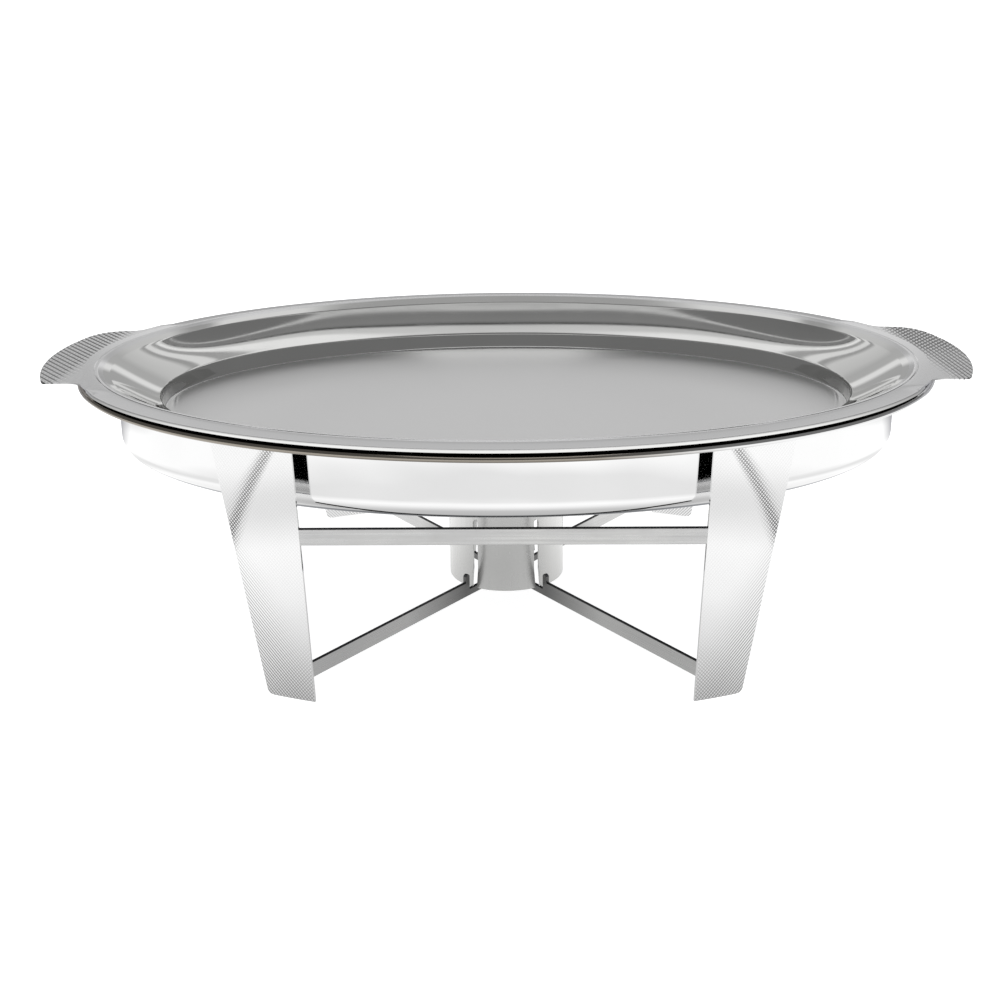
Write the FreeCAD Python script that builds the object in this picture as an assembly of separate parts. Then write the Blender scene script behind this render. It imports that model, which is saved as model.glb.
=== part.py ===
import FreeCAD, Part
import math
import os

# Oval buffet chafer: a stand with four legs, a water pan, a food tray and a fuel can holder.
# Millimetres, +Z up, +X along the length. The origin is on the table, under the middle of the oval.

V = FreeCAD.Vector

# ---------- driving dimensions ----------
half_length = 320.0        # rim oval, outermost edge of the tray
half_width = 220.0
rim_top = 196.0            # height of the tray's flat rim above the table

# An inset is a distance inwards from the rim's outermost oval.
tray_sheet = 1.2
tray_bead_radius = 3.0     # rolled edge of the tray
rim_inner = 15.2           # where the flat rim ends
shoulder_inset = 24.5      # foot of the short shoulder inside the rim
shoulder_top = 192.2
step_inset = 59.5          # edge where the sloped wall drops into the well
step_top = 172.4
well_inset = 62.0          # foot of the steep step
well_floor = 161.0
tray_bend = 2.5

pan_sheet = 1.1
pan_bead_radius = 2.0
pan_bead_inset = 0.6
pan_flange_top = rim_top - 2 * tray_bead_radius
pan_flat_inset = 21.4      # flat part of the flange, the part that the stand carries
pan_wall_inset = 29.0
pan_bottom = 135.0
pan_bend = 16.0

leg_inset = 17.0           # outer face of the curved legs
leg_sheet = 1.8
leg_inner_foot = 130.2     # half spread of the inner edges at the table
leg_outer_foot = 164.2     # half spread of the outer edges at the table
leg_inner_lean = 0.039     # outward lean of the inner edge for each millimetre of height
leg_outer_lean = 0.171
leg_foot_radius = 5.0
carry_gap = 0.3            # between the pan's flange and the stand that carries it
leg_top = pan_flange_top - pan_sheet - carry_gap

ring_height = 6.0          # support ring welded behind the tops of the legs
ring_thickness = 2.5

bar_height = 11.4          # flat bar, used on edge
crossbar_thickness = 4.0
crossbar_top = 127.0
crossbar_face = 182.0      # front face of the front crossbar, measured from the middle

brace_thickness = 3.0
brace_top = 28.2
brace_reach_x = 134.0      # where a brace bar meets the back of a leg
lug_height = 6.4           # upstand of the brace bar outside the fuel can holder
lug_start = 48.7
lug_end = 53.2

cup_radius = 44.5          # fuel can holder, outside
cup_sheet = 1.2
cup_bottom = 22.0
cup_height = 64.0
cup_band = 8.0             # unslotted band at the top
slot_width = 4.0
slot_angle = 31.5          # degrees from the front-to-back line
slot_shift = 1.3           # how far the slot leans outwards at its foot
slot_bend_height = 16.0

handle_width = 25.0        # how far a handle stands out from the rim
handle_sheet = 1.6
handle_front = -68.0
handle_back = 84.0
handle_root = 17.0         # length of the tapering root at each end
handle_corner = 9.0
handle_fillet = 9.0
handle_weld_inset = 5.4    # where the handle plate meets the tray's flat rim

BEND_STEPS = 6


# ---------- oval helpers ----------
def oval(inset, z):
    """Edge of the ellipse that lies inset millimetres inside the rim, at height z."""
    ellipse = Part.Ellipse(V(0, 0, z), half_length - inset, half_width - inset)
    return ellipse.toShape()


def oval_face(inset, z):
    return Part.Face(Part.Wire([oval(inset, z)]))


def oval_block(inset, bottom, top):
    """Solid elliptical cylinder."""
    return oval_face(inset, bottom).extrude(V(0, 0, top - bottom))


def oval_hoop(outer_inset, inner_inset, bottom, top):
    """Upright ring with a rectangular section."""
    return oval_block(outer_inset, bottom, top).cut(oval_block(inner_inset, bottom, top))


def slab(x_start, x_end, y_start, y_end, z_start, z_end):
    return Part.makeBox(x_end - x_start, y_end - y_start, z_end - z_start, V(x_start, y_start, z_start))


def band(start, end):
    """Surface between two neighbouring points of a section, swept round the oval."""
    if abs(start[1] - end[1]) < 1e-6:
        outer, inner = sorted([start, end])
        face = oval_face(outer[0], outer[1])
        return face.cut(oval_face(inner[0], inner[1])).Faces[0]
    return Part.makeRuledSurface(oval(*start), oval(*end)).Faces[0]


def dish(section):
    """Sheet dish: the section runs from the underside of the floor, round the rim, to the top."""
    faces = [oval_face(*section[0])]
    faces += [band(start, end) for start, end in zip(section, section[1:])]
    faces.append(oval_face(*section[-1]))
    shell = Part.makeShell(faces)
    shell.sewShape()
    solid = Part.Solid(shell)
    if solid.Volume < 0:
        solid.reverse()
    return solid


def arc(centre_inset, centre_z, radius, start, end):
    """Points of a rounded bend in a section. 0 degrees points inwards and 90 points up."""
    points = []
    for step in range(BEND_STEPS + 1):
        angle = math.radians(start + (end - start) * step / BEND_STEPS)
        points.append((centre_inset + radius * math.cos(angle), centre_z + radius * math.sin(angle)))
    return points


def bend(corner, before, after, radius):
    """Rounds the corner of a section that lies between two other points of it."""
    def unit(target):
        dx, dz = target[0] - corner[0], target[1] - corner[1]
        size = math.hypot(dx, dz)
        return dx / size, dz / size

    u, w = unit(before), unit(after)
    half = math.acos(u[0] * w[0] + u[1] * w[1]) / 2
    reach = radius / math.tan(half)
    length = math.hypot(u[0] + w[0], u[1] + w[1])
    middle = radius / math.sin(half)
    centre = (corner[0] + (u[0] + w[0]) / length * middle, corner[1] + (u[1] + w[1]) / length * middle)
    first = (corner[0] + u[0] * reach, corner[1] + u[1] * reach)
    last = (corner[0] + w[0] * reach, corner[1] + w[1] * reach)
    start = math.degrees(math.atan2(first[1] - centre[1], first[0] - centre[0]))
    end = math.degrees(math.atan2(last[1] - centre[1], last[0] - centre[0]))
    if end - start > 180:
        end -= 360
    if start - end > 180:
        end += 360
    return arc(centre[0], centre[1], radius, start, end)


def rounded(corners, radii):
    """Section through the corners, each inner corner rounded by its own radius (0 keeps it sharp)."""
    section = [corners[0]]
    for index in range(1, len(corners) - 1):
        if radii[index - 1] > 0:
            section += bend(corners[index], corners[index - 1], corners[index + 1], radii[index - 1])
        else:
            section.append(corners[index])
    section.append(corners[-1])
    return section


# ---------- food tray and its handles ----------
def food_tray():
    t = tray_sheet
    r = tray_bead_radius
    bead_z = rim_top - r
    under = rounded([(well_inset + 30, well_floor - t),
                     (well_inset - t, well_floor - t),
                     (step_inset - t, step_top - t),
                     (shoulder_inset - 0.4, shoulder_top - t - 0.2),
                     (rim_inner - 0.4, rim_top - t),
                     (2 * r, rim_top - t)],
                    [tray_bend + t, 1.0, 3.0, 1.5])
    bead = arc(r, bead_z, r, -60, -180) + arc(r, bead_z, r, 180, 90)[1:]
    top = rounded([(r, rim_top),
                   (rim_inner, rim_top),
                   (shoulder_inset, shoulder_top),
                   (step_inset, step_top),
                   (well_inset, well_floor),
                   (well_inset + 30, well_floor)],
                  [2.5, 2.0, 2.2, tray_bend])
    tray = dish(under + bead + top[1:])
    for side in (-1, 1):
        tray = tray.cut(handle_zone(side))
    return tray


def handle_zone(side):
    """Stretch of the rim where a handle plate takes the place of the rolled edge."""
    block = slab(250, 370, handle_front - handle_root, handle_back + handle_root,
                 pan_flange_top - 1, rim_top + 1)
    if side < 0:
        block = block.mirror(V(0, 0, 0), V(1, 0, 0))
    return block.cut(oval_block(handle_weld_inset, pan_flange_top - 2, rim_top + 2))


def handle(side):
    """Leaf-shaped plate that carries on the flat rim at one end of the tray."""
    bottom = rim_top - handle_sheet
    leaf = oval_hoop(-handle_width, handle_weld_inset, bottom, rim_top)
    leaf = leaf.common(slab(250, 370, handle_front, handle_back, bottom, rim_top))
    root = oval_hoop(0.0, handle_weld_inset, bottom, rim_top)
    root = root.common(slab(250, 370, handle_front - handle_root, handle_back + handle_root, bottom, rim_top))
    plate = leaf.fuse(root).removeSplitter()
    for radius, reach in ((handle_corner, handle_width), (handle_fillet, 0.0)):
        a, b = half_length + reach, half_width + reach
        upright = []
        for edge in plate.Edges:
            middle = edge.CenterOfMass
            at_end = min(abs(middle.y - handle_front), abs(middle.y - handle_back)) < 0.01
            on_oval = abs((middle.x / a) ** 2 + (middle.y / b) ** 2 - 1) < 0.001
            if at_end and on_oval and abs(edge.Length - handle_sheet) < 0.01:
                upright.append(edge)
        plate = plate.makeFillet(radius, upright)
    if side < 0:
        plate = plate.mirror(V(0, 0, 0), V(1, 0, 0))
    return plate


# ---------- water pan ----------
def water_pan():
    t = pan_sheet
    r = pan_bead_radius
    bead_inset = pan_bead_inset + r
    bead_z = pan_flange_top - r
    slope_foot = (pan_wall_inset, pan_flange_top - 3.6)
    outside = rounded([(pan_wall_inset + 40, pan_bottom),
                       (pan_wall_inset, pan_bottom),
                       (slope_foot[0], slope_foot[1] - t),
                       (pan_flat_inset, pan_flange_top - t),
                       (pan_bead_inset + 2 * r, pan_flange_top - t)],
                      [pan_bend, 1.5, 1.0])
    bead = arc(bead_inset, bead_z, r, -20, -180) + arc(bead_inset, bead_z, r, 180, 90)[1:]
    inside = rounded([(bead_inset, pan_flange_top),
                      (pan_flat_inset, pan_flange_top),
                      (slope_foot[0] + t, slope_foot[1]),
                      (pan_wall_inset + t, pan_bottom + t),
                      (pan_wall_inset + 40, pan_bottom + t)],
                     [1.0, 2.6, pan_bend - t])
    return dish(outside + bead + inside[1:])


# ---------- stand ----------
def leg_outline():
    """Front view of the right front leg, from the table up to just below the pan's flange."""
    inner_foot = V(leg_inner_foot, 0, 0)
    inner_head = V(leg_inner_foot + leg_inner_lean * leg_top, 0, leg_top)
    outer_foot = V(leg_outer_foot, 0, 0)
    outer_head = V(leg_outer_foot + leg_outer_lean * leg_top, 0, leg_top)
    inwards = (inner_foot - outer_foot).normalize()
    upwards = (outer_head - outer_foot).normalize()
    half = inwards.getAngle(upwards) / 2
    reach = leg_foot_radius / math.tan(half)
    start = outer_foot + inwards * reach
    end = outer_foot + upwards * reach
    middle = (inwards + upwards).normalize() * (leg_foot_radius / math.sin(half) - leg_foot_radius)
    edges = [Part.LineSegment(inner_head, inner_foot), Part.LineSegment(inner_foot, start),
             Part.Arc(start, outer_foot + middle, end), Part.LineSegment(end, outer_head),
             Part.LineSegment(outer_head, inner_head)]
    return Part.Wire([edge.toShape() for edge in edges])


def leg(side, front):
    """Tapered sheet leg, bent to the oval. side is -1 or 1, front is -1 or 1 (rear)."""
    curved = oval_hoop(leg_inset, leg_inset + leg_sheet, 0, leg_top)
    cutter = Part.Face(leg_outline()).extrude(V(0, -half_width, 0))
    piece = curved.common(cutter)
    if side < 0:
        piece = piece.mirror(V(0, 0, 0), V(1, 0, 0))
    if front > 0:
        piece = piece.mirror(V(0, 0, 0), V(0, 1, 0))
    return piece


def support_ring():
    outer = leg_inset + leg_sheet
    return oval_hoop(outer, outer + ring_thickness, leg_top - ring_height, leg_top)


def crossbar(front):
    """Flat bar on edge between the inner edges of two legs."""
    bottom = crossbar_top - bar_height
    low = leg_inner_foot + leg_inner_lean * bottom
    high = leg_inner_foot + leg_inner_lean * crossbar_top
    outline = Part.makePolygon([V(-low, 0, bottom), V(low, 0, bottom), V(high, 0, crossbar_top),
                                V(-high, 0, crossbar_top), V(-low, 0, bottom)])
    bar = Part.Face(outline).extrude(V(0, crossbar_thickness, 0))
    bar.translate(V(0, -crossbar_face, 0))
    if front > 0:
        bar = bar.mirror(V(0, 0, 0), V(0, 1, 0))
    return bar


def brace_arm_profile():
    """Upper edge of one arm of a brace bar beyond its low middle: distance and height."""
    lug_top = brace_top + lug_height
    corner = 1.4
    return [(lug_start, cup_bottom), (lug_start, lug_top - corner), (lug_start + corner, lug_top),
            (lug_end - corner, lug_top), (lug_end, lug_top - corner), (lug_end, brace_top)]


def brace_bar(side):
    """Diagonal flat bar on edge. Its low middle carries the holder and is half lapped with its twin."""
    bottom = brace_top - bar_height
    reach = half_length
    arm = brace_arm_profile()
    points = [V(-reach, 0, bottom), V(reach, 0, bottom), V(reach, 0, brace_top)]
    points += [V(distance, 0, z) for distance, z in reversed(arm)]
    points += [V(-distance, 0, z) for distance, z in arm]
    points += [V(-reach, 0, brace_top), V(-reach, 0, bottom)]
    bar = Part.Face(Part.makePolygon(points)).extrude(V(0, brace_thickness, 0))
    bar.translate(V(0, -brace_thickness / 2, 0))
    middle = (cup_bottom + bottom) / 2
    angle = brace_angle()
    lap = brace_thickness / 2 / math.sin(math.pi - 2 * math.radians(angle)) * 2.2
    if side > 0:
        bar = bar.cut(slab(-lap, lap, -reach, reach, middle, brace_top))
    else:
        bar = bar.cut(slab(-lap, lap, -reach, reach, bottom, middle))
    bar.rotate(V(0, 0, 0), V(0, 0, 1), side * (90 - angle))
    return bar.common(oval_block(leg_inset + leg_sheet, bottom, brace_top + lug_height))


def brace_angle():
    """Degrees between a brace bar and the front-to-back line."""
    back = leg_inset + leg_sheet
    y = (half_width - back) * math.sqrt(1 - (brace_reach_x / (half_length - back)) ** 2)
    return math.degrees(math.atan2(brace_reach_x, y))


# ---------- fuel can holder ----------
def fuel_can_holder():
    top = cup_bottom + cup_height
    wall = Part.makeCylinder(cup_radius, cup_height, V(0, 0, cup_bottom))
    wall = wall.cut(Part.makeCylinder(cup_radius - cup_sheet, cup_height, V(0, 0, cup_bottom)))
    half = slot_width / 2
    crown = top - cup_band
    bend_z = cup_bottom + slot_bend_height
    inner_side = Part.LineSegment(V(-half, 0, bend_z), V(-half, 0, crown - half)).toShape()
    head = Part.Arc(V(-half, 0, crown - half), V(0, 0, crown), V(half, 0, crown - half)).toShape()
    outer_side = Part.LineSegment(V(half, 0, crown - half), V(half, 0, bend_z)).toShape()
    foot_out = Part.LineSegment(V(half, 0, bend_z), V(half + slot_shift, 0, cup_bottom - 1)).toShape()
    foot = Part.LineSegment(V(half + slot_shift, 0, cup_bottom - 1),
                            V(-half + slot_shift, 0, cup_bottom - 1)).toShape()
    foot_in = Part.LineSegment(V(-half + slot_shift, 0, cup_bottom - 1), V(-half, 0, bend_z)).toShape()
    outline = Part.Wire([inner_side, head, outer_side, foot_out, foot, foot_in])
    cutter = Part.Face(outline).extrude(V(0, -cup_radius - 5, 0))
    cutter.rotate(V(0, 0, 0), V(0, 0, 1), slot_angle)
    mirrored = cutter.mirror(V(0, 0, 0), V(1, 0, 0))
    for slot in (cutter, mirrored):
        wall = wall.cut(slot).cut(slot.mirror(V(0, 0, 0), V(0, 1, 0)))
    return wall


# ---------- nodes ----------
def build_nodes():
    nodes = {
        "food_tray": food_tray(),
        "left_handle_plate": handle(-1),
        "right_handle_plate": handle(1),
        "water_pan": water_pan(),
        "support_ring": support_ring(),
        "front_crossbar": crossbar(-1),
        "rear_crossbar": crossbar(1),
        "brace_bar_upper_lap": brace_bar(-1),
        "brace_bar_lower_lap": brace_bar(1),
        "fuel_can_holder": fuel_can_holder(),
    }
    for front, end_name in ((-1, "front"), (1, "rear")):
        for side, side_name in ((-1, "left"), (1, "right")):
            nodes[end_name + "_" + side_name + "_leg"] = leg(side, front)
    return nodes


os.makedirs("parts", exist_ok=True)
for node_name, shape in build_nodes().items():
    box = shape.BoundBox
    print("%-22s solids %d valid %s volume %.0f box %.1f..%.1f %.1f..%.1f %.1f..%.1f" % (
        node_name, len(shape.Solids), shape.isValid(), shape.Volume,
        box.XMin, box.XMax, box.YMin, box.YMax, box.ZMin, box.ZMax))
    shape.exportStep("parts/" + node_name + ".step")
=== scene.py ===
import math

import bmesh
import bpy
import numpy as np
from mathutils import Matrix, Vector

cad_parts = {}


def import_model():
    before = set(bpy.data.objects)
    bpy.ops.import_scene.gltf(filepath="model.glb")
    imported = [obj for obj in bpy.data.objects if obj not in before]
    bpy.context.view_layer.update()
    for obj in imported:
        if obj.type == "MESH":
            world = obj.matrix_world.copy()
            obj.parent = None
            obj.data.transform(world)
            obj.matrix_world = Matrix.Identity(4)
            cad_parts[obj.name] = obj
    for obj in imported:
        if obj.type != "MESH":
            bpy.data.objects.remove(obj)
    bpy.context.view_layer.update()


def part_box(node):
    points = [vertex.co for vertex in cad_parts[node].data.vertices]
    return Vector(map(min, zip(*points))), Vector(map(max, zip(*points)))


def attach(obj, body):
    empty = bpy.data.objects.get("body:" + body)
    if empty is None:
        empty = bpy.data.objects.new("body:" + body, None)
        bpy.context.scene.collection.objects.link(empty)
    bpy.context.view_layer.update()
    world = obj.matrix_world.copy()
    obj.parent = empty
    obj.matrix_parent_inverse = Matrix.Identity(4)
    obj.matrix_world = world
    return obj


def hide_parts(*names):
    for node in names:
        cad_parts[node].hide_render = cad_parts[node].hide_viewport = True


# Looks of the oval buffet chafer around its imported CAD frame.
# Shapes are worked out in millimetres, in the frame's axes, and written to the meshes in metres.

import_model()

MM = 0.001
SEED = 7


def box_mm(node):
    low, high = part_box(node)
    return np.array(low) / MM, np.array(high) / MM


# ---------- sizes, from the frame where it has them ----------
tray_low, tray_high = box_mm("food_tray")
pan_low, pan_high = box_mm("water_pan")
ring_low, ring_high = box_mm("support_ring")
ring_thickness = 2.5
handle_low, handle_high = box_mm("right_handle_plate")
brace_bottom = box_mm("brace_bar_lower_lap")[0][2]
cup_low, cup_high = box_mm("fuel_can_holder")
foot_low, foot_high = box_mm("front_right_leg")

handle_width = 25.0
half_length = handle_high[0] - handle_width
half_width = tray_high[1]
rim_top = tray_high[2]

tray_sheet = 1.2
hem_inset = 6.4            # turned-down hem under the tray's rim, which rests on the pan
edge_droop = 1.2           # the rim falls by this much towards its edge
droop_inset = 10.0
edge_fold = 2.6            # thickness of the folded edge
rim_inner = 15.2
rim_groove = (0.7, 0.34)   # half width and depth of the line pressed along the rim's inner edge
shoulder_inset = 24.5
shoulder_drop = 3.8
step_inset = 59.5
step_drop = 23.6
well_inset = 62.0
well_floor = tray_low[2] + tray_sheet
wall_sag = 0.6             # hollow of the drawn wall, measured from its chord

pan_sheet = 1.1
pan_bead = 2.5
pan_bead_inset = 0.6
pan_top = pan_high[2]
pan_flat_inset = 21.4
pan_slope_drop = 3.6
pan_wall_inset = 29.0
pan_bottom = pan_low[2]
pan_bend = 11.0

leg_inset = 17.0
leg_sheet = 1.8
leg_top = foot_high[2]
leg_inner_foot = foot_low[0]
leg_inner_lean = 0.039
leg_outer_lean = 0.171
leg_outer_foot = foot_high[0] - leg_outer_lean * leg_top
leg_foot_radius = 5.0

handle_root = 17.0
handle_front = handle_low[1] + handle_root
handle_back = handle_high[1] - handle_root
handle_corners = (9.0, 5.0, 20.0, 9.0)     # reach of the softened corners, from the front root round
handle_sheet = 1.1
weld_inset = 5.4
root_fade = 12.0           # length over which the rim's droop fades out beside a handle

brace_thickness = 3.0
brace_reach_x = 134.0
brace_height = 11.4
brace_top = brace_bottom + brace_height
lug_height = 6.4
lug_start = 48.7
lug_end = 53.2
lug_corner = 1.4

cup_radius = 44.5
cup_sheet = 1.2
cup_bottom = cup_low[2]
cup_top = cup_high[2]
cup_band = 8.0
slot_width = 4.0
slot_angle = 31.5
slot_shift = 1.3
slot_bend_height = 16.0

# Embossing. The reliefs are the depths of the grooves.
leg_diamond = (2.56, 2.8)  # diagonals of one diamond of the legs' grid
leg_relief = 0.12
leg_band_height = 203.0    # height at which the strong diagonal band would meet the inner edge
leg_band_fall = 86.0       # how far the band falls across the leg
handle_lines = ((6, 3.4), (-38, 4.4))      # heading of each family's normal in degrees, and its spacing
handle_relief = 0.22
texture_start = 314.0      # where the handles' grooves begin, from the middle of the oval, at the front
texture_slant = 19.0       # how much nearer the middle they begin at the rear
texture_fade = 16.0

sheet_ripple = 0.10        # unevenness of the drawn sheets

# Borders of the zones in the materials, as shares of the rim oval.
flat_rim_share = 0.925
gap_share = 0.957          # inner end of the gap between the rim and the pan
pan_edge_share = 0.9815    # inner end of the pan's rolled edge
rim_edge_share = 0.9982
outside_share = 1.1        # beyond every piece


# ---------- mesh helpers ----------
def make_object(name, points, faces, body, slot, nodes, fields=None):
    """Mesh object from millimetre points, welded, smooth apart from its sharp edges.

    fields maps attribute names to three numbers per point, for the materials to read.
    """
    mesh = bpy.data.meshes.new(name)
    mesh.from_pydata([tuple(p) for p in np.asarray(points) * MM], [], faces)
    for field, values in (fields or {}).items():
        attribute = mesh.attributes.new(field, "FLOAT_VECTOR", "POINT")
        attribute.data.foreach_set("vector", np.asarray(values, dtype=np.float32).ravel())
    work = bmesh.new()
    work.from_mesh(mesh)
    bmesh.ops.remove_doubles(work, verts=work.verts, dist=0.002 * MM)
    bmesh.ops.recalc_face_normals(work, faces=work.faces)
    work.to_mesh(mesh)
    work.free()
    for polygon in mesh.polygons:
        polygon.use_smooth = True
    mesh.set_sharp_from_angle(angle=math.radians(38))
    piece = bpy.data.objects.new(name, mesh)
    bpy.context.scene.collection.objects.link(piece)
    mesh.materials.append(MATERIALS[slot])
    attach(piece, body)
    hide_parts(*nodes)
    return piece


def grid_faces(rows, columns, wrap_rows=False, wrap_columns=False):
    """Quads between neighbouring points of a grid stored row after row."""
    faces = []
    for i in range(rows if wrap_rows else rows - 1):
        low, high = i * columns, (i + 1) % rows * columns
        for j in range(columns if wrap_columns else columns - 1):
            k = (j + 1) % columns
            faces.append((low + j, low + k, high + k, high + j))
    return faces


def sheet_faces(rows, columns):
    """Faces of a closed sheet whose rows hold the columns of its face and then those of its back."""
    faces = grid_faces(rows, 2 * columns, False, True)
    for row in (0, rows - 1):
        start = row * 2 * columns
        for j in range(columns - 1):
            k = 2 * columns - 1 - j
            faces.append((start + j, start + j + 1, start + k - 1, start + k))
    return faces


def fillet(corner, before, after, radius, steps=10):
    """Points of the arc that rounds a corner of a flat outline."""
    corner, before, after = (np.array(p, float) for p in (corner, before, after))
    u = (before - corner) / np.linalg.norm(before - corner)
    w = (after - corner) / np.linalg.norm(after - corner)
    half = math.acos(float(np.clip(u @ w, -1, 1))) / 2
    middle = corner + (u + w) / np.linalg.norm(u + w) * radius / math.sin(half)
    first = corner + u * radius / math.tan(half) - middle
    last = corner + w * radius / math.tan(half) - middle
    turn = math.atan2(first[0] * last[1] - first[1] * last[0], first @ last)
    points = []
    for step in range(steps + 1):
        angle = turn * step / steps
        c, s = math.cos(angle), math.sin(angle)
        points.append(middle + np.array([c * first[0] - s * first[1], s * first[0] + c * first[1]]))
    return points


def rounded(corners, radii):
    """Outline through the corners with each inner corner rounded by its own radius."""
    points = [np.array(corners[0], float)]
    for index, radius in enumerate(radii, start=1):
        points += fillet(corners[index], corners[index - 1], corners[index + 1], radius)
    points.append(np.array(corners[-1], float))
    return points


def arc(centre, radius, start, end, steps=14):
    angles = np.radians(np.linspace(start, end, steps + 1))
    return [np.array([centre[0] + radius * math.cos(a), centre[1] + radius * math.sin(a)]) for a in angles]


def divided(points, longest):
    """The same line with no stretch longer than longest."""
    out = [points[0]]
    for start, end in zip(points, points[1:]):
        pieces = max(1, math.ceil(np.linalg.norm(end - start) / longest))
        out += [start + (end - start) * k / pieces for k in range(1, pieces + 1)]
    return out


def ripple(x, y, size, wavelength, seed):
    """Slow unevenness of drawn sheet: a few long waves in fixed random directions."""
    random = np.random.default_rng(seed)
    total = np.zeros_like(x)
    for _ in range(7):
        heading = random.uniform(0, math.pi)
        stretch = wavelength * random.uniform(0.7, 1.8)
        phase = random.uniform(0, 2 * math.pi)
        total += np.sin((x * math.cos(heading) + y * math.sin(heading)) * 2 * math.pi / stretch + phase)
    return size * total / 7


def groove_phases(u, w, size):
    """Counts along the two families of crossing grooves. Every half count lies in a groove."""
    return u / size[0] + w / size[1], u / size[0] - w / size[1]


def embossed(phases, strengths):
    """Height from 0 to 1 between crossing grooves. The strengths are the depths of the two families."""
    first, second = (1 - strength * (1 - smooth_step(np.abs(2 * np.mod(phase, 1) - 1) * 1.6))
                     for phase, strength in zip(phases, strengths))
    return np.minimum(first, second)


def smooth_step(x):
    x = np.clip(x, 0, 1)
    return x * x * (3 - 2 * x)


# ---------- materials ----------
def new_material(name):
    material = bpy.data.materials.new(name)
    material.use_nodes = True
    tree = material.node_tree
    shader = tree.nodes["Principled BSDF"]
    shader.inputs["Metallic"].default_value = 1.0
    return material, tree, shader


def link(tree, source, target):
    tree.links.new(source, target)


def noise_field(tree, scale, stretch=(1, 1, 1), detail=4.0, turn=(0, 0, 0)):
    """Noise at real scale: scale is in features per metre along an unstretched axis."""
    coordinates = tree.nodes.new("ShaderNodeTexCoord")
    mapping = tree.nodes.new("ShaderNodeMapping")
    mapping.inputs["Scale"].default_value = [scale * s for s in stretch]
    mapping.inputs["Rotation"].default_value = turn
    noise = tree.nodes.new("ShaderNodeTexNoise")
    noise.inputs["Scale"].default_value = 1.0
    noise.inputs["Detail"].default_value = detail
    link(tree, coordinates.outputs["Object"], mapping.inputs["Vector"])
    link(tree, mapping.outputs["Vector"], noise.inputs["Vector"])
    return noise.outputs["Fac"]


def remap(tree, value, low, high, start=0.3, end=0.7):
    node = tree.nodes.new("ShaderNodeMapRange")
    node.inputs["From Min"].default_value = start
    node.inputs["From Max"].default_value = end
    node.inputs["To Min"].default_value = low
    node.inputs["To Max"].default_value = high
    link(tree, value, node.inputs["Value"])
    return node.outputs["Result"]


def tint(tree, value, dark, light):
    ramp = tree.nodes.new("ShaderNodeValToRGB")
    ramp.color_ramp.elements[0].position = 0.3
    ramp.color_ramp.elements[1].position = 0.7
    ramp.color_ramp.elements[0].color = (*dark, 1)
    ramp.color_ramp.elements[1].color = (*light, 1)
    link(tree, value, ramp.inputs["Fac"])
    return ramp.outputs["Color"]


def add(tree, first, second):
    return math_node(tree, "ADD", first, second)


def math_node(tree, operation, first, second=None):
    node = tree.nodes.new("ShaderNodeMath")
    node.operation = operation
    for socket, value in zip(node.inputs, (first, second)):
        if isinstance(value, (int, float)):
            socket.default_value = value
        elif value is not None:
            link(tree, value, socket)
    return node.outputs["Value"]


def product(tree, *values):
    result = values[0]
    for value in values[1:]:
        result = math_node(tree, "MULTIPLY", result, value)
    return result


def place_in_mm(tree):
    """The point's own place in the frame's axes, in millimetres, and its share of the rim oval."""
    coordinates = tree.nodes.new("ShaderNodeTexCoord")
    split = tree.nodes.new("ShaderNodeSeparateXYZ")
    link(tree, coordinates.outputs["Object"], split.inputs["Vector"])
    x, y, z = (math_node(tree, "DIVIDE", split.outputs[axis], MM) for axis in "XYZ")
    across = math_node(tree, "POWER", math_node(tree, "DIVIDE", x, float(half_length)), 2)
    along = math_node(tree, "POWER", math_node(tree, "DIVIDE", y, float(half_width)), 2)
    share = math_node(tree, "SQRT", add(tree, across, along))
    return x, y, z, share


def between(tree, value, low, high, soft):
    """1 where the value lies between low and high, fading to 0 over soft on either side."""
    rise = remap(tree, value, 0.0, 1.0, low - soft, low)
    fall = remap(tree, value, 1.0, 0.0, high, high + soft)
    return product(tree, rise, fall)


def darkened(tree, shader, mask, colour, roughness=None):
    """Blends the base colour, and the roughness if one is given, towards new values under a mask."""
    old_colour = shader.inputs["Base Color"].links[0].from_socket
    mix = tree.nodes.new("ShaderNodeMix")
    mix.data_type = "RGBA"
    link(tree, mask, mix.inputs["Factor"])
    link(tree, old_colour, mix.inputs["A"])
    mix.inputs["B"].default_value = (*colour, 1)
    link(tree, mix.outputs["Result"], shader.inputs["Base Color"])
    if roughness is not None:
        old = shader.inputs["Roughness"].links[0].from_socket
        fade = tree.nodes.new("ShaderNodeMix")
        link(tree, mask, fade.inputs["Factor"])
        link(tree, old, fade.inputs["A"])
        fade.inputs["B"].default_value = roughness
        link(tree, fade.outputs["Result"], shader.inputs["Roughness"])


def bump(tree, shader, height, depth):
    """Fine relief on top of whatever relief the shader already has."""
    node = tree.nodes.new("ShaderNodeBump")
    node.inputs["Strength"].default_value = 1.0
    node.inputs["Distance"].default_value = depth * MM
    link(tree, height, node.inputs["Height"])
    if shader.inputs["Normal"].is_linked:
        link(tree, shader.inputs["Normal"].links[0].from_socket, node.inputs["Normal"])
    link(tree, node.outputs["Normal"], shader.inputs["Normal"])


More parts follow.
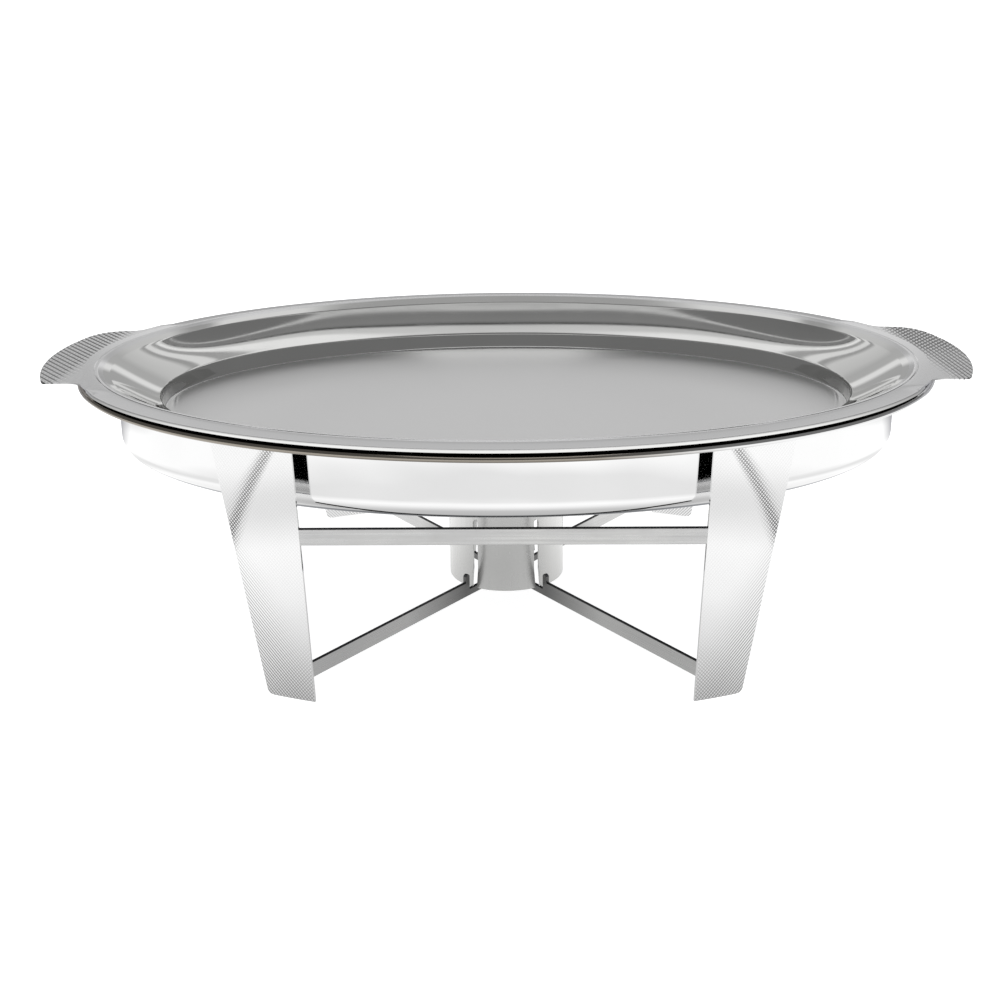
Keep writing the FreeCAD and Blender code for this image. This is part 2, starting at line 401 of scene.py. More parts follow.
def groove_lines_with_painted_shade(tree, shader, colour, width, depth):
    """Thin lines in the bottoms of embossed grooves: darker with painted shade, and cut a little deeper."""
    masks = []
    phases, strengths = (tree.nodes.new("ShaderNodeAttribute") for _ in range(2))
    phases.attribute_name = "phases"
    strengths.attribute_name = "strengths"
    split_phases, split_strengths = (tree.nodes.new("ShaderNodeSeparateXYZ") for _ in range(2))
    link(tree, phases.outputs["Vector"], split_phases.inputs["Vector"])
    link(tree, strengths.outputs["Vector"], split_strengths.inputs["Vector"])
    for axis in "XY":
        away = math_node(tree, "FRACT", split_phases.outputs[axis])
        away = math_node(tree, "ABSOLUTE", math_node(tree, "SUBTRACT", away, 0.5))
        line = remap(tree, away, 1.0, 0.0, width * 0.4, width)
        masks.append(product(tree, line, split_strengths.outputs[axis]))
    lines = math_node(tree, "MAXIMUM", *masks)
    # painted shade: the bottoms of the grooves are painted dark
    darkened(tree, shader, lines, colour)
    bump(tree, shader, math_node(tree, "SUBTRACT", 1.0, lines), depth)


def steel(name, dark, light, smooth, rough, grain, grain_depth, wear=0.05, turn=(0, 0, 0)):
    """Steel with a brushed grain. grain is the noise stretch along each axis, depths are in millimetres."""
    material, tree, shader = new_material(name)
    fine = noise_field(tree, 2600, grain, 3.0, turn)
    streak = noise_field(tree, 700, grain, 2.0, turn)
    cloud = noise_field(tree, 14, detail=5.0)
    smudge = noise_field(tree, 55, (1, 1, 1), 6.0)
    link(tree, tint(tree, cloud, dark, light), shader.inputs["Base Color"])
    finish = remap(tree, streak, smooth, rough)
    finish = add(tree, finish, remap(tree, smudge, 0.0, wear, 0.45, 0.75))
    link(tree, finish, shader.inputs["Roughness"])
    bump(tree, shader, add(tree, fine, streak), grain_depth)
    return material, tree, shader


def tray_satin():
    material, tree, shader = steel("tray_satin", (0.72, 0.72, 0.71), (0.76, 0.76, 0.75), 0.02, 0.05,
                                   (0.03, 1, 1), 0.0003, 0.02)
    z, share = place_in_mm(tree)[2:]
    ground = between(tree, z, well_floor - 5, well_floor + 0.4, 0.4)
    darkened(tree, shader, ground, (0.88, 0.88, 0.88), 0.34)
    rim = product(tree, between(tree, z, rim_top - 1.6, rim_top + 1, 0.2),
                  between(tree, share, flat_rim_share, outside_share, 0.002))
    darkened(tree, shader, rim, (0.75, 0.75, 0.755), 0.13)
    # painted shade: the tray's folded edge and the hem under it, in the gap above the pan, are painted near
    # black and rough
    painted_gap_shade = product(tree, between(tree, z, pan_top - 2, rim_top - tray_sheet - 0.15, 0.1),
                      between(tree, share, gap_share, rim_edge_share, 0.0006))
    darkened(tree, shader, painted_gap_shade, (0.01, 0.01, 0.01), 0.6)
    return material


def handle_embossed():
    material, tree, shader = steel("handle_embossed", (0.72, 0.72, 0.725), (0.76, 0.76, 0.765),
                                   0.12, 0.18, (1, 0.05, 1), 0.0008, 0.03)
    groove_lines_with_painted_shade(tree, shader, (0.06, 0.06, 0.06), 0.20, 0.10)
    return material


def pan_mirror():
    material, tree, shader = steel("pan_mirror", (0.80, 0.80, 0.80), (0.84, 0.84, 0.84), 0.015, 0.03,
                                   (0.1, 0.1, 1), 0.0003, 0.02)
    x, _y, z, share = place_in_mm(tree)
    # painted reflection: the pan's rolled edge is painted a dark warm grey on the left and in the middle,
    # fading out towards the right
    painted_edge_reflection = product(tree, between(tree, z, pan_top - 5, pan_top + 1, 0.3),
                   between(tree, share, pan_edge_share, outside_share, 0.001),
                   remap(tree, x, 1.0, 0.0, 60, 150))
    darkened(tree, shader, painted_edge_reflection, (0.33, 0.30, 0.26), 0.12)
    # painted shade: a dark grey-blue band is painted along the pan's bottom edge
    foot = between(tree, z, pan_bottom - 1, pan_bottom + 3.4, 0.9)
    darkened(tree, shader, foot, (0.22, 0.23, 0.25), 0.15)
    # painted shade: the top of the pan's flange, in the gap under the tray's rim, is painted near black and
    # rough
    painted_gap_shade = product(tree, between(tree, z, pan_top - 0.5, pan_top + 1, 0.2),
                      between(tree, share, gap_share, pan_edge_share - 0.001, 0.001))
    darkened(tree, shader, painted_gap_shade, (0.01, 0.01, 0.01), 0.6)
    return material


def leg_embossed():
    material, tree, shader = steel("leg_embossed", (0.80, 0.80, 0.80), (0.84, 0.84, 0.84), 0.05, 0.09,
                                   (1, 1, 1), 0.0005, 0.04)
    groove_lines_with_painted_shade(tree, shader, (0.03, 0.03, 0.03), 0.22, 0.05)
    return material


def bar_steel():
    material, tree, shader = steel("bar_steel", (0.57, 0.57, 0.57), (0.63, 0.63, 0.62), 0.22, 0.34,
                                   (0.02, 0.02, 1), 0.004, 0.06)
    # painted reflection: the faces of the bars that look up are painted near black and rough
    geometry = tree.nodes.new("ShaderNodeNewGeometry")
    split = tree.nodes.new("ShaderNodeSeparateXYZ")
    link(tree, geometry.outputs["True Normal"], split.inputs["Vector"])
    painted_dark_top = remap(tree, split.outputs["Z"], 0.0, 1.0, 0.75, 0.9)
    darkened(tree, shader, painted_dark_top, (0.04, 0.04, 0.04), 0.5)
    # painted shade: the bars are painted darker towards the middle of the oval, under the pan
    share = place_in_mm(tree)[3]
    darkened(tree, shader, remap(tree, share, 0.85, 0.0, 0.22, 0.5), (0.10, 0.10, 0.10))
    return material


def holder_steel():
    return steel("holder_steel", (0.68, 0.68, 0.67), (0.74, 0.74, 0.73), 0.18, 0.27,
                 (1, 1, 0.03), 0.003, 0.05)[0]


MATERIALS = {make.__name__: make() for make in (tray_satin, handle_embossed, pan_mirror,
                                                leg_embossed, bar_steel, holder_steel)}


# ---------- ovals ----------
def on_oval(inset, z, angle, scale=1.0):
    """Point inset millimetres inside the rim oval. scale below 1 moves it towards the middle."""
    return np.stack(np.broadcast_arrays((half_length - inset) * scale * np.cos(angle),
                                        (half_width - inset) * scale * np.sin(angle), z), axis=-1)


def dish(section, angles, clamp=None):
    """Rings of a sheet dish. The section's two ends are closed by flat floors."""
    inset, z = np.array(section).T
    rings = []
    floor_steps = np.linspace(0.0, 1.0, 29)
    for scale in floor_steps[:-1]:
        rings.append(on_oval(inset[0], z[0], angles, scale))
    for k in range(len(inset)):
        ring_inset = np.full(len(angles), inset[k])
        ring_z = np.full(len(angles), z[k])
        if clamp is not None:
            ring_inset, ring_z = clamp(ring_inset, ring_z)
        rings.append(on_oval(ring_inset, ring_z, angles))
    for scale in floor_steps[-2::-1]:
        rings.append(on_oval(inset[-1], z[-1], angles, scale))
    return np.array(rings)


# ---------- food tray ----------
root_start = math.asin((handle_front - handle_root) / half_width)
root_end = math.asin((handle_back + handle_root) / half_width)


def tray_angles():
    """Angles round the oval, and whether each lies where a handle replaces the rolled edge."""
    angles, plain = [], []
    borders = [(root_start, root_end, True), (root_end, math.pi - root_end, False),
               (math.pi - root_end, math.pi - root_start, True),
               (math.pi - root_start, 2 * math.pi + root_start, False)]
    for start, end, flag in borders:
        steps = int((end - start) / math.radians(0.5))
        angles += list(np.linspace(start, end, steps + 1))
        plain += [flag] * (steps + 1)
    return np.array(angles), np.array(plain)


def sagging_wall(start, end):
    """Inner points of the drawn wall, which hangs a little below its chord."""
    points = []
    for part in np.linspace(0.12, 0.88, 12):
        point = start + (end - start) * part
        points.append(point - np.array([0, wall_sag * math.sin(math.pi * part)]))
    return points


def build_tray():
    t = tray_sheet
    shoulder = (shoulder_inset, rim_top - shoulder_drop)
    step = (step_inset, rim_top - step_drop)
    groove, depth = rim_groove
    floor_edge = well_inset + 30
    under = rounded([(floor_edge, well_floor - t), (well_inset - t, well_floor - t),
                     (step_inset - t, step[1] - t), (shoulder_inset - 0.4, shoulder[1] - t - 0.2),
                     (rim_inner - 0.4, rim_top - t), (hem_inset + 1.2, rim_top - t),
                     (hem_inset + 0.6, pan_top + 0.1), (hem_inset, pan_top + 0.1),
                     (hem_inset - 0.6, rim_top - t - 0.1), (0.1, rim_top - edge_fold)],
                    [3.7, 1.0, 3.0, 1.5, 0.6, 0.2, 0.2, 0.3])
    start = rim_inner - 2 * groove
    top = rounded([(0, rim_top - edge_fold + 0.1), (0, rim_top), (start - groove, rim_top),
                   (start, rim_top - depth), (start + groove, rim_top), (rim_inner + 1, rim_top - 0.05),
                   shoulder, step, (well_inset, well_floor), (floor_edge, well_floor)],
                  [0.15, 0.4, 0.4, 0.4, 1.6, 1.4, 1.4, 1.6])
    wall = [i for i in range(len(top) - 1) if np.linalg.norm(top[i + 1] - top[i]) > 25][0]
    top[wall + 1:wall + 1] = sagging_wall(top[wall], top[wall + 1])
    section = divided(under + top, 2.0)
    angles, plain = tray_angles()

    def clamp(inset, z):
        cut = plain & (inset < weld_inset)
        low = plain & (z > pan_top) & (z < rim_top - t) & (inset < hem_inset + 1.3)
        return np.where(cut, weld_inset, inset), np.where(low, rim_top - t, z)

    rings = dish(section, angles, clamp)
    x, y, z = rings[..., 0], rings[..., 1], rings[..., 2]
    inset = half_width * (1 - np.hypot(x / half_length, y / half_width))
    free = smooth_step((handle_front - handle_root - y) / root_fade)
    free = free + smooth_step((y - handle_back - handle_root) / root_fade)
    fall = edge_droop * np.clip(1 - inset / droop_inset, 0, 1) ** 1.1
    rings[..., 2] -= fall * free * (z > rim_top - edge_fold - 0.1)
    inside = smooth_step((1 - np.hypot(x / half_length, y / half_width)) * 8)
    rings[..., 2] += inside * ripple(x, y, sheet_ripple, 90, SEED)
    rows, columns = rings.shape[:2]
    return make_object("food_tray_sheet", rings.reshape(-1, 3), grid_faces(rows, columns, False, True),
                       "food_tray", "tray_satin", ["food_tray"])


# ---------- handles ----------
def softened(points, corner, reach):
    """Rounds one corner of a dense line between the points reach millimetres either side of it."""
    gaps = np.linalg.norm(np.diff(points, axis=0), axis=1)
    along = np.concatenate([[0], np.cumsum(gaps)])
    here = along[corner]
    first = np.searchsorted(along, here - reach)
    last = np.searchsorted(along, here + reach)
    t = np.linspace(0, 1, 40)[:, None]
    curve = (1 - t) ** 2 * points[first] + 2 * t * (1 - t) * points[corner] + t ** 2 * points[last]
    return np.concatenate([points[:first], curve, points[last + 1:]])


def leaf_outline():
    """Outer edge of the right handle in plan, from its front root to its rear root."""
    def stretch(inset, low, high):
        y = np.linspace(low, high, max(2, int(abs(high - low) * 2)))
        x = (half_length - inset) * np.sqrt(1 - (y / (half_width - inset)) ** 2)
        return np.stack([x, y], axis=1)

    def side(y):
        inner = stretch(0, y, y + 1)[0]
        outer = stretch(-handle_width, y, y + 1)[0]
        steps = np.linspace(0, 1, 50)[:, None]
        return inner + (outer - inner) * steps

    front = side(handle_front)
    back = side(handle_back)[::-1]
    parts = [stretch(0, handle_front - handle_root, handle_front)[:-1], front,
             stretch(-handle_width, handle_front, handle_back)[1:-1], back,
             stretch(0, handle_back, handle_back + handle_root)[1:]]
    points = np.concatenate(parts)
    counts = np.cumsum([len(p) for p in parts])
    corners = [counts[0], counts[1] - 1, counts[2], counts[3] - 1]
    for corner, reach in reversed(list(zip(corners, handle_corners))):
        points = softened(points, corner, reach)
    return points


def evenly(points, count):
    gaps = np.linalg.norm(np.diff(points, axis=0), axis=1)
    along = np.concatenate([[0], np.cumsum(gaps)])
    where = np.linspace(0, along[-1], count)
    return np.stack([np.interp(where, along, points[:, k]) for k in range(2)], axis=1)


def both_faces(phases, strengths):
    """Groove counts and strengths of a sheet's grid, for its face and then for its back."""
    fields = {}
    for field, (first, second) in (("phases", phases), ("strengths", strengths)):
        values = np.stack([first, second, np.zeros_like(first)], axis=-1)
        fields[field] = np.concatenate([values, values[:, ::-1]], axis=1).reshape(-1, 3)
    return fields


def build_handle(side):
    rows, columns = 520, 64
    angles = np.linspace(root_start, root_end, rows)
    inner = on_oval(weld_inset, 0, angles)[:, :2]
    outer = evenly(leaf_outline(), rows)
    across = np.linspace(0, 1, columns)[None, :, None]
    plan = inner[:, None] * (1 - across) + outer[:, None] * across
    x, y = plan[..., 0] * side, plan[..., 1]
    length = handle_back - handle_front
    border = texture_start - (y - handle_front) / length * texture_slant
    zone = smooth_step((np.abs(x) - border) / texture_fade)
    phases = [(x * side * math.cos(math.radians(heading)) + y * math.sin(math.radians(heading))) / spacing
              for heading, spacing in handle_lines]
    rear = smooth_step((y + 25) / 60)
    strengths = (zone, zone * (0.4 + 0.6 * rear)) if side > 0 else (0.35 * zone, zone)
    relief = handle_relief * (embossed(phases, strengths) - 1)
    top = np.stack([x, y, rim_top + relief], axis=-1)
    bottom = np.stack([x, y, rim_top - handle_sheet + relief], axis=-1)[:, ::-1]
    sheet = np.concatenate([top, bottom], axis=1)
    faces = sheet_faces(rows, columns)
    name = "right_handle" if side > 0 else "left_handle"
    return make_object(name, sheet.reshape(-1, 3), faces, "food_tray", "handle_embossed",
                       [name + "_plate"], both_faces(phases, strengths))


# ---------- water pan ----------
def build_pan():
    t, r = pan_sheet, pan_bead
    foot = (pan_wall_inset, pan_top - pan_slope_drop)
    centre = (pan_bead_inset + r, pan_top - r)
    floor_edge = pan_wall_inset + 40
    outside = rounded([(floor_edge, pan_bottom), (pan_wall_inset, pan_bottom),
                       (foot[0], foot[1] - t), (pan_flat_inset, pan_top - t),
                       (centre[0] + r, pan_top - t)], [pan_bend, 1.5, 1.0])
    roll = arc(centre, r, -20, -270, 30)
    inside = rounded([(centre[0], pan_top), (pan_flat_inset, pan_top), (foot[0] + t, foot[1]),
                      (pan_wall_inset + t, pan_bottom + t), (floor_edge, pan_bottom + t)],
                     [1.0, 2.6, pan_bend - t])
    section = divided(outside + roll + inside[1:], 3.0)
    angles = np.linspace(0, 2 * math.pi, 721)[:-1]
    rings = dish(section, angles)
    x, y, z = rings[..., 0], rings[..., 1], rings[..., 2]
    wave = ripple(np.arctan2(y, x) * 300, z * 2.5, sheet_ripple, 70, SEED + 1)
    share = np.hypot(x / half_length, y / half_width)
    wall = smooth_step((pan_top - 6 - z) / 8) * smooth_step((share - 0.8) * 20)
    rings[..., 0] += wave * wall * x / half_length
    rings[..., 1] += wave * wall * y / half_width
    rows, columns = rings.shape[:2]
    return make_object("water_pan_sheet", rings.reshape(-1, 3), grid_faces(rows, columns, False, True),
                       "water_pan", "pan_mirror", ["water_pan"])


# ---------- stand ----------
def hoop(name, section, slot, nodes):
    """Closed section of (inset, z) points swept round the oval."""
    angles = np.linspace(0, 2 * math.pi, 481)[:-1]
    inset, z = np.array(section).T
    rings = np.array([on_oval(i, h, angles) for i, h in zip(inset, z)])
    rows, columns = rings.shape[:2]
    return make_object(name, rings.reshape(-1, 3), grid_faces(rows, columns, True, True),
                       "stand", slot, nodes)


def build_ring():
    outer = leg_inset + leg_sheet
    inner = outer + ring_thickness
    low, high = ring_low[2], ring_high[2]
    corners = [(outer, low), (inner, low), (inner, high), (outer, high)]
    section = []
    for k in range(4):
        section += fillet(corners[k], corners[k - 1], corners[(k + 1) % 4], 0.4, 4)
    return hoop("support_hoop", section, "bar_steel", ["support_ring"])


def outer_edge(z):
    """Outer edge of a leg, with its rounded foot."""
    straight = leg_outer_foot + leg_outer_lean * z
    lean = math.atan(leg_outer_lean)
    r = leg_foot_radius
    centre = leg_outer_foot + leg_outer_lean * r - r / math.cos(lean)
    touch = r - r * math.sin(lean)
    curve = centre + np.sqrt(np.clip(r * r - (z - r) ** 2, 0, None))
    return np.where(z < touch, curve, straight)


def build_leg(side, front, name):
    rows, columns = 360, 96
    z = np.linspace(0, leg_top, rows)[:, None]
    across = np.linspace(0, 1, columns)[None, :]
    low = leg_inner_foot + leg_inner_lean * z
    x = low + (outer_edge(z) - low) * across
    z = np.broadcast_to(z, x.shape)
    a, b = half_length - leg_inset, half_width - leg_inset
    y = b * np.sqrt(1 - (x / a) ** 2)
    normal = np.stack([x / a ** 2, y / b ** 2, np.zeros_like(x)], axis=-1)
    normal /= np.linalg.norm(normal, axis=-1, keepdims=True)
    ruler = np.linspace(0, a * 0.9, 400)
    rise = np.diff(b * np.sqrt(1 - (ruler / a) ** 2))
    lengths = np.concatenate([[0], np.cumsum(np.hypot(np.diff(ruler), rise))])
    along = np.interp(x, ruler, lengths) * side
    border = np.minimum(np.minimum(across, 1 - across) * 60, np.minimum(z, leg_top - z))
    edge = smooth_step(border / 0.8)
    phases = groove_phases(along, z, leg_diamond)
    # both families are strongest low down, the outward one near the outer edge, and meet in the band
    outward = 0.06 + 0.62 * smooth_step(across * 0.9 + 0.55 - z / 95)
    inward = 0.04 + 0.3 * smooth_step(1.15 - across * 0.5 - z / 50)
    # the band is partly real relief, cut deeper, and partly painted reflection, through its groove lines
    # painted dark
    band = (z - leg_band_height + across * leg_band_fall) / (4 + 8 * across)
    streak = np.exp(-band ** 2) * (0.5 + 0.5 * across)
    outward = np.maximum(outward, streak)
    inward = np.maximum(inward, 0.9 * streak)
    strengths = (outward * edge, inward * edge) if side < 0 else (inward * edge, outward * edge)
    relief = leg_relief * (embossed(phases, strengths) - 1)
    skin = np.stack([x, y, z], axis=-1)
    face = skin + normal * relief[..., None]
    back = skin + normal * (relief - leg_sheet)[..., None]
    sheet = np.concatenate([face, back[:, ::-1]], axis=1)
    sheet[..., 0] *= side
    sheet[..., 1] *= front
    faces = sheet_faces(rows, columns)
    return make_object(name + "_sheet", sheet.reshape(-1, 3), faces, "stand", "leg_embossed", [name],
                       both_faces(phases, strengths))


def bar_object(name, outline, thickness, place, slot, nodes, fit_ends=None):
    """Flat bar cut to an outline in its own length-height plane, with eased edges."""
    count = len(outline)
    points = [place(along, -thickness / 2, z) for along, z in outline]
    points += [place(along, thickness / 2, z) for along, z in outline]
    if fit_ends is not None:
        points = [fit_ends(p) for p in points]
    faces = [tuple(range(count)), tuple(range(2 * count - 1, count - 1, -1))]
    faces += [(k, (k + 1) % count, (k + 1) % count + count, k + count) for k in range(count)]
    piece = make_object(name, points, faces, "stand", slot, nodes)
    ease = piece.modifiers.new("ease", "BEVEL")
    ease.width = 0.35 * MM
    ease.segments = 2
    ease.limit_method = "ANGLE"
    ease.angle_limit = math.radians(30)
    ease.harden_normals = True
    return piece


def build_crossbar(front, name):
    low, high = box_mm(name)
    ends = [leg_inner_foot + leg_inner_lean * z for z in (low[2], high[2])]
    middle = (low[1] + high[1]) / 2
    outline = [(-ends[0], low[2]), (ends[0], low[2]), (ends[1], high[2]), (-ends[1], high[2])]

    def place(along, across, z):
        return np.array([along, middle + across, z])

    return bar_object(name + "_flat", outline, high[1] - low[1], place, "bar_steel", [name])


def build_brace(side, name):
    back = leg_inset + leg_sheet
    a, b = half_length - back, half_width - back
    reach_y = b * math.sqrt(1 - (brace_reach_x / a) ** 2)
    heading = math.atan2(reach_y, side * brace_reach_x)
    run = math.hypot(brace_reach_x, reach_y)
    lug_top = brace_top + lug_height
    arm = [(lug_start, cup_bottom), (lug_start, lug_top - lug_corner),
           (lug_start + lug_corner, lug_top), (lug_end - lug_corner, lug_top),
           (lug_end, lug_top - lug_corner), (lug_end, brace_top)]
    middle = (cup_bottom + brace_bottom) / 2
    lap = brace_thickness / 2 / math.sin(2 * math.atan2(brace_reach_x, reach_y)) * 2.2
    upper = [(run, brace_top)] + arm[::-1]
    lower_edge = [(-run, brace_bottom), (run, brace_bottom)]
    notch_top, notch_bottom = [], []
    if side > 0:
        notch_top = [(lap, cup_bottom), (lap, middle), (-lap, middle), (-lap, cup_bottom)]
    else:
        notch_bottom = [(-lap, brace_bottom), (-lap, middle), (lap, middle), (lap, brace_bottom)]
    outline = [lower_edge[0]] + notch_bottom + [lower_edge[1]] + upper + notch_top
    outline += [(-along, z) for along, z in upper[::-1]]
    c, s = math.cos(heading), math.sin(heading)

    def place(along, across, z):
        return np.array([along * c - across * s, along * s + across * c, z])

    def fit_ends(point):
        """Slides the points at the bar's ends along it until they touch the back of a leg."""
        along = point[0] * c + point[1] * s
        if abs(along) < run - 1:
            return point
        across = -point[0] * s + point[1] * c
        low, high = run - 15, run + 15
        sign = math.copysign(1, along)
        for _ in range(40):
            trial = (low + high) / 2
            x, y, _z = place(sign * trial, across, 0)
            if (x / a) ** 2 + (y / b) ** 2 < 1:
                low = trial
            else:
                high = trial
        return place(sign * low, across, point[2])

    return bar_object(name + "_flat", outline, brace_thickness, place, "bar_steel", [name], fit_ends)


# ---------- fuel can holder ----------
def build_holder():
    """Slotted cylinder: four hanging panels that join into a band above the slots."""
    half = slot_width / 2
    crown = cup_top - cup_band
    straight = np.linspace(cup_bottom, crown - half, 40)
    head = crown - half + half * np.sin(np.linspace(0, math.pi / 2, 10))[1:]
    levels = np.concatenate([straight, head, np.linspace(crown, cup_top, 8)[1:]])
    gap = np.where(levels < crown - half, half,
                   np.sqrt(np.clip(half ** 2 - (levels - crown + half) ** 2, 0, None)))
    lean = slot_shift * np.clip((cup_bottom + slot_bend_height - levels) / slot_bend_height, 0, 1)
    columns = 48
    slots = [(-90 + slot_angle, 1), (90 - slot_angle, -1), (90 + slot_angle, 1), (270 - slot_angle, -1)]
    points, faces = [], []
    for index, (angle, lean_side) in enumerate(slots):
        next_angle, next_side = slots[(index + 1) % 4]
        if next_angle < angle:
            next_angle += 360
        start = math.radians(angle) + (gap + lean * lean_side) / cup_radius
        end = math.radians(next_angle) + (lean * next_side - gap) / cup_radius
        offset = len(points)
        for level, first, last in zip(levels, start, end):
            for theta in np.linspace(first, last, columns):
                points.append((cup_radius * math.cos(theta), cup_radius * math.sin(theta), level))
        faces += [tuple(offset + k for k in quad) for quad in grid_faces(len(levels), columns)]
    piece = make_object("holder_cylinder", points, faces, "fuel_can_holder", "holder_steel",
                        ["fuel_can_holder"])
    wall = piece.modifiers.new("wall", "SOLIDIFY")
    wall.thickness = cup_sheet * MM
    wall.offset = -1
    ease = piece.modifiers.new("ease", "BEVEL")
    ease.width = 0.25 * MM
    ease.segments = 2
    ease.limit_method = "ANGLE"
    ease.angle_limit = math.radians(50)
    ease.harden_normals = True
    return piece


# ---------- studio ----------
def floor():
    mesh = bpy.data.meshes.new("floor")
    size = 30.0
    corners = [(-size, -size, 0), (size, -size, 0), (size, size, 0), (-size, size, 0)]
    mesh.from_pydata(corners, [], [(0, 1, 2, 3)])
    plane = bpy.data.objects.new("floor", mesh)
    bpy.context.scene.collection.objects.link(plane)
    material = bpy.data.materials.new("floor_paper")
    material.use_nodes = True
    shader = material.node_tree.nodes["Principled BSDF"]
    shader.inputs["Base Color"].default_value = (0.86, 0.86, 0.86, 1)
    shader.inputs["Roughness"].default_value = 0.9
    shader.inputs["Specular IOR Level"].default_value = 0.1
    shader.inputs["Emission Color"].default_value = (1, 1, 1, 1)
    shader.inputs["Emission Strength"].default_value = 0.9
    mesh.materials.append(material)
    plane.visible_glossy = False


def reflector():
    """Card that only the steel sees: shaded under the object, bright round it, dark far off, grey behind."""
    mesh = bpy.data.meshes.new("reflector")
    reach = 30.0
    oval_x, oval_y = 0.52, 0.46      # metres, oval that the card's zones follow
    towards_front = 0.15
    widest = 2.8                     # ovals out to the last zone
    mesh.from_pydata([(-reach, -reach, -0.002), (reach, -reach, -0.002), (reach, reach, -0.002),
                      (-reach, reach, -0.002)], [], [(0, 1, 2, 3)])
    card = bpy.data.objects.new("reflector", mesh)
    bpy.context.scene.collection.objects.link(card)
    material = bpy.data.materials.new("reflector_card")
    material.use_nodes = True
    tree = material.node_tree
    tree.nodes.remove(tree.nodes["Principled BSDF"])
    glow = tree.nodes.new("ShaderNodeEmission")
    link(tree, glow.outputs["Emission"], tree.nodes["Material Output"].inputs["Surface"])
    coordinates = tree.nodes.new("ShaderNodeTexCoord")
    stretch = tree.nodes.new("ShaderNodeMapping")
    stretch.inputs["Scale"].default_value = (1 / oval_x, 1 / oval_y, 1)
    stretch.inputs["Location"].default_value = (0, towards_front / oval_y, 0)
    link(tree, coordinates.outputs["Object"], stretch.inputs["Vector"])
    length = tree.nodes.new("ShaderNodeVectorMath")
    length.operation = "LENGTH"
    link(tree, stretch.outputs["Vector"], length.inputs[0])
    ramp = tree.nodes.new("ShaderNodeValToRGB")
    zones = [(0.0, 0.58), (0.1, 0.66), (0.16, 0.9), (0.22, 1.1), (0.3, 1.2), (0.36, 0.95),
             (0.4, 0.95), (0.46, 1.2), (0.56, 1.2), (0.63, 0.7), (0.72, 0.3), (0.8, 0.17), (1.0, 0.15)]
    for _ in range(len(zones) - 2):
        ramp.color_ramp.elements.new(0.5)
    for element, (place, value) in zip(ramp.color_ramp.elements, zones):
        element.position = place
        element.color = (value, value, value, 1)
    link(tree, math_node(tree, "DIVIDE", length.outputs["Value"], widest), ramp.inputs["Fac"])
    split = tree.nodes.new("ShaderNodeSeparateXYZ")
    link(tree, coordinates.outputs["Object"], split.inputs["Vector"])
    behind = tree.nodes.new("ShaderNodeMix")
    behind.data_type = "RGBA"
    link(tree, remap(tree, split.outputs["Y"], 0.0, 1.0, 0.28, 0.42), behind.inputs["Factor"])
    link(tree, ramp.outputs["Color"], behind.inputs["A"])
    behind.inputs["B"].default_value = (0.5, 0.5, 0.52, 1)
    link(tree, behind.outputs["Result"], glow.inputs["Color"])
    mesh.materials.append(material)
    card.visible_camera = False
    card.visible_diffuse = False
    card.visible_shadow = False


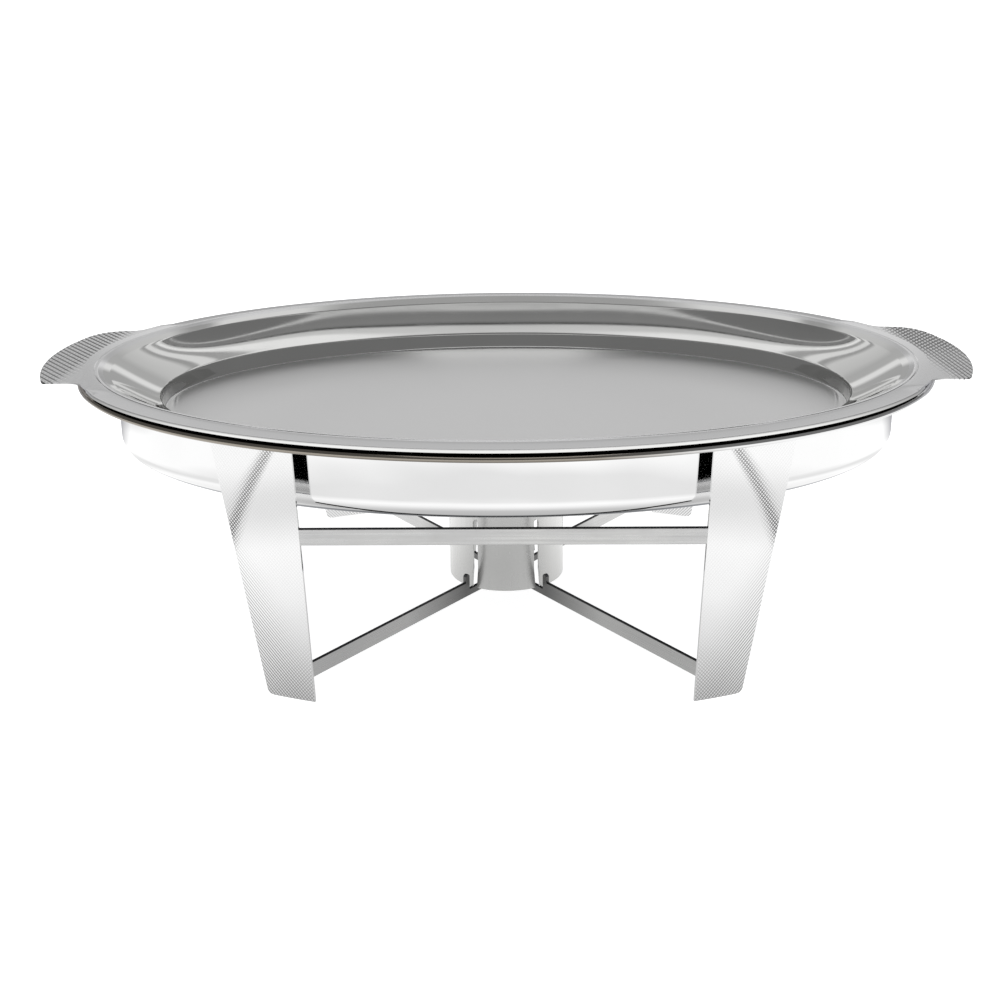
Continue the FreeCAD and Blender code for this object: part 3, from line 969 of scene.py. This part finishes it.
def world():
    """Studio surroundings: strips of light and shade that run from left to right over the object."""
    surroundings = bpy.data.worlds.new("studio")
    bpy.context.scene.world = surroundings
    surroundings.use_nodes = True
    tree = surroundings.node_tree
    coordinates = tree.nodes.new("ShaderNodeTexCoord")
    split = tree.nodes.new("ShaderNodeSeparateXYZ")
    link(tree, coordinates.outputs["Generated"], split.inputs["Vector"])
    turn = math_node(tree, "ARCTAN2", split.outputs["Z"], split.outputs["Y"])
    share = math_node(tree, "DIVIDE", turn, math.pi)
    bow = 70.0     # how strongly the strips bend towards the back horizon at their left and right ends
    ends = math_node(tree, "POWER", math_node(tree, "ABSOLUTE", split.outputs["X"]), 4)
    height = math_node(tree, "MINIMUM", share, math_node(tree, "SUBTRACT", 1.0, share))
    share = add(tree, share, product(tree, ends, height, bow))
    ramp = tree.nodes.new("ShaderNodeValToRGB")
    link(tree, share, ramp.inputs["Fac"])
    # degrees over the object, from the back horizon (0) through the zenith (90) to the front (180)
    strips = [(0, 0.4), (12, 0.45), (15, 0.88), (18, 0.88), (20, 0.5), (26, 0.5), (32, 0.62),
              (46, 0.70), (50, 0.4),
              (52.5, 0.4), (54, 0.85), (59, 0.85), (60.5, 0.42), (64.2, 0.42), (64.8, 1.0), (67.6, 1.0),
              (68, 0.70), (70, 0.66), (70.2, 0.05), (71.3, 0.26), (75.2, 0.23),
              (75.5, 0.6), (76.6, 0.6), (77.0, 0.2), (94, 0.18), (96, 0.01), (124, 0.01), (127, 0.9),
              (148, 0.9), (152, 0.2), (180, 0.18)]
    elements = ramp.color_ramp.elements
    for _ in range(len(strips) - 2):
        elements.new(0.5)
    for element, (degrees, value) in zip(elements, strips):
        element.position = degrees / 180
        element.color = (value, value, value, 1)
    background = tree.nodes["Background"]
    link(tree, ramp.outputs["Color"], background.inputs["Color"])


def soft_light():
    """Broad light from overhead for the floor, left out of the steel's reflections."""
    data = bpy.data.lights.new("overhead", "SUN")
    data.energy = 1.6
    data.angle = math.radians(70)
    lamp = bpy.data.objects.new("overhead", data)
    bpy.context.scene.collection.objects.link(lamp)
    lamp.rotation_euler = (math.radians(8), 0, 0)
    lamp.visible_glossy = False


def camera():
    """Camera a little over a metre in front of the object, looking down at it."""
    place = Vector((14.4, -1127.4, 497.9)) * MM
    pitch, yaw, roll = 0.355, -0.017, -0.010
    forward = Vector((math.sin(yaw) * math.cos(pitch), math.cos(yaw) * math.cos(pitch), -math.sin(pitch)))
    right = Vector((math.cos(yaw), -math.sin(yaw), 0))
    up = right.cross(forward)
    turned_right = math.cos(roll) * right + math.sin(roll) * up
    turned_up = -math.sin(roll) * right + math.cos(roll) * up
    data = bpy.data.cameras.new("camera")
    data.sensor_width = 36
    data.lens = 55.476
    view = bpy.data.objects.new("camera", data)
    bpy.context.scene.collection.objects.link(view)
    view.matrix_world = Matrix((
        (turned_right.x, turned_up.x, -forward.x, place.x),
        (turned_right.y, turned_up.y, -forward.y, place.y),
        (turned_right.z, turned_up.z, -forward.z, place.z),
        (0, 0, 0, 1)))
    bpy.context.scene.camera = view


build_tray()
for handle_side in (-1, 1):
    build_handle(handle_side)
build_pan()
build_ring()
for row, end in ((-1, "front"), (1, "rear")):
    for column, hand in ((-1, "left"), (1, "right")):
        build_leg(column, row, end + "_" + hand + "_leg")
    build_crossbar(row, end + "_crossbar")
build_brace(-1, "brace_bar_upper_lap")
build_brace(1, "brace_bar_lower_lap")
build_holder()

floor()
world()
reflector()
soft_light()
camera()
bpy.context.scene.view_settings.view_transform = "Standard"
